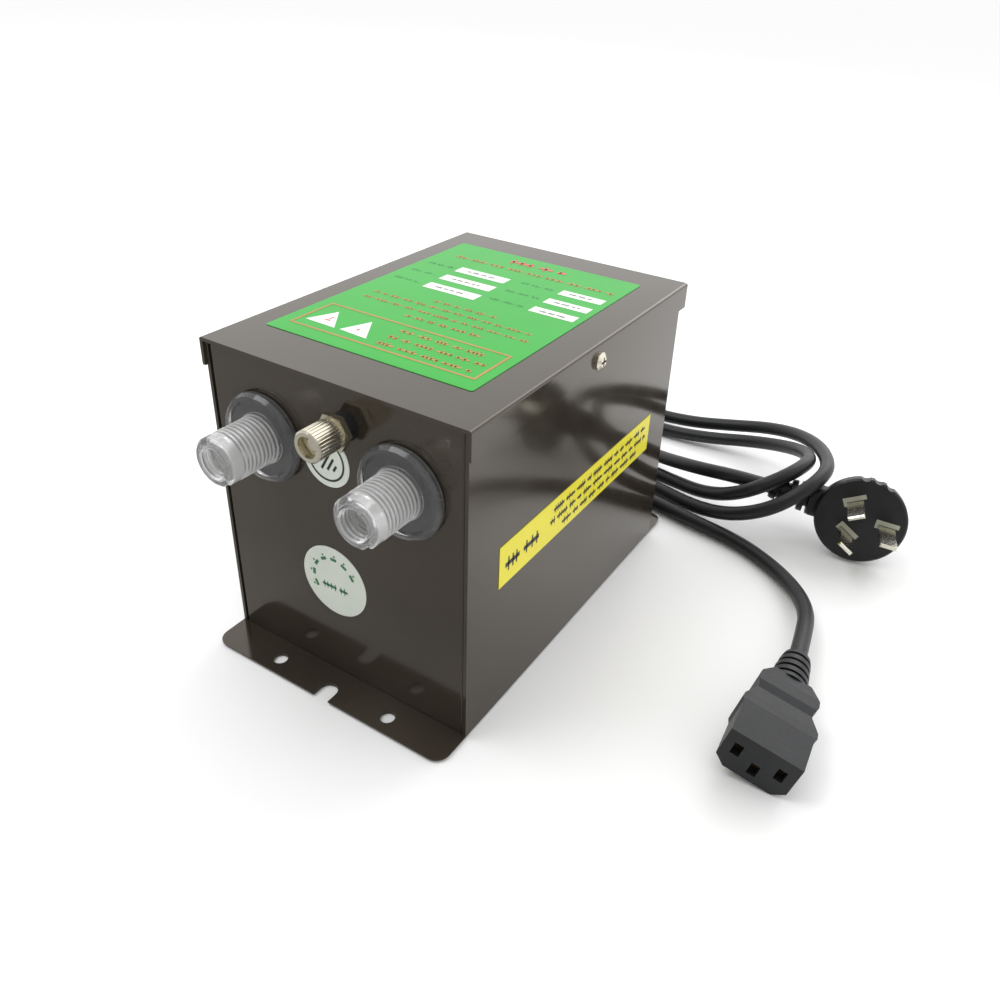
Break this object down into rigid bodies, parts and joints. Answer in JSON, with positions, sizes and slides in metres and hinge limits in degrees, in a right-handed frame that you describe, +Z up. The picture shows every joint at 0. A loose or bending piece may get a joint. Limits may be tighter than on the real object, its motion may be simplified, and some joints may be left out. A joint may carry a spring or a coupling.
{
  "type": "high-voltage ioniser power supply",
  "caption": "Sheet-metal bench power supply with threaded clear high-voltage outlets, an earth post and a detachable mains lead.",
  "frame": {"origin": "centre of the four mounting holes, on the underside of the base plate", "axes": "+X to the right of the front panel, +Y from the front panel to the rear, +Z up"},
  "size_m": [0.2588, 0.2718, 0.1117],
  "materials": {
    "enclosure_paint": "gloss",
    "plated_steel": "satin",
    "clear_acrylic": "clear gloss",
    "brass": "satin",
    "nickel_brass": "polished",
    "black_plastic": "satin",
    "glass": "clear",
    "green_label": "gloss",
    "yellow_label": "gloss",
    "white_label": "gloss",
    "core_steel": "varnished",
    "copper_winding": "enamelled wire",
    "cast_resin": "cast resin",
    "pressboard": "matte",
    "cord_pvc": "satin PVC",
    "wire_brown": "satin PVC",
    "wire_blue": "satin PVC",
    "wire_green": "satin PVC",
    "wire_red": "silicone"
  },
  "bodies": {
    "enclosure": {"chassis": "enclosure_paint", "front_panel": "enclosure_paint", "rear_panel": "enclosure_paint", "lid": "enclosure_paint", "lid_screws": "plated_steel", "lid_rivet_nuts": "plated_steel", "outlet_left": "clear_acrylic", "outlet_right": "clear_acrylic", "outlet_washers": "clear_acrylic", "outlet_lock_nuts": "brass", "outlet_contacts": "brass", "high_voltage_lead_left": "wire_red", "high_voltage_lead_right": "wire_red", "earth_stud": "nickel_brass", "earth_insulator": "black_plastic", "earth_seat_nut": "nickel_brass", "earth_inner_nut": "nickel_brass", "earth_lug": "nickel_brass", "earth_front_wire": "wire_green", "top_label": "green_label", "side_label": "yellow_label", "earth_label": "white_label", "round_label": "white_label", "inlet_housing": "black_plastic", "inlet_pins": "nickel_brass", "inlet_screws": "plated_steel", "inlet_nuts": "plated_steel", "switch_housing": "black_plastic", "switch_terminals": "nickel_brass", "transformer_core": "core_steel", "transformer_former": "black_plastic", "primary_winding": "copper_winding", "secondary_winding": "cast_resin", "transformer_bracket": "plated_steel", "core_bolts": "plated_steel", "core_nuts": "plated_steel", "bracket_screws": "plated_steel", "bracket_nuts": "plated_steel", "insulating_sheet": "pressboard", "terminal_block": "pressboard", "terminal_screws": "plated_steel", "switch_feed_wire": "wire_brown", "switched_live_wire": "wire_brown", "neutral_wire": "wire_blue", "earth_inlet_wire": "wire_green", "chassis_earth_stud": "plated_steel", "chassis_earth_nut": "plated_steel", "chassis_earth_lugs": "nickel_brass", "lead_connector": "black_plastic", "connector_contacts": "brass", "lead_plug": "black_plastic", "plug_blades": "nickel_brass", "mains_cord": "cord_pvc"},
    "drawer": {"fuse_drawer": "black_plastic", "fuse_tube": "glass", "fuse_caps": "brass"},
    "rocker": {"switch_rocker": "black_plastic"},
    "clamp": {"earth_clamp_washer": "nickel_brass"},
    "thumb_nut": {"earth_thumb_nut": "nickel_brass"}
  },
  "joints": [
    {"name": "fuse_drawer_slide", "type": "slide", "parent": "enclosure", "child": "drawer", "axis": [0, 1, 0], "range_m": [0, 0.016]},
    {"name": "switch_rock", "type": "hinge", "parent": "enclosure", "child": "rocker", "pos_m": [0.024, 0.0665, 0.056], "axis": [1, 0, 0], "range_deg": [0, 22]},
    {"name": "earth_clamp_slide", "type": "slide", "parent": "enclosure", "child": "clamp", "axis": [0, -1, 0], "range_m": [0, 0.004]},
    {"name": "earth_nut_turn", "type": "hinge", "parent": "clamp", "child": "thumb_nut", "pos_m": [0.006, -0.078, 0.0984], "axis": [0, -1, 0], "range_deg": [0, 1801]}
  ],
  "couplings": [
    {"joint": "earth_nut_turn", "follows": "earth_clamp_slide", "rad_per_m": 7854}
  ]
}
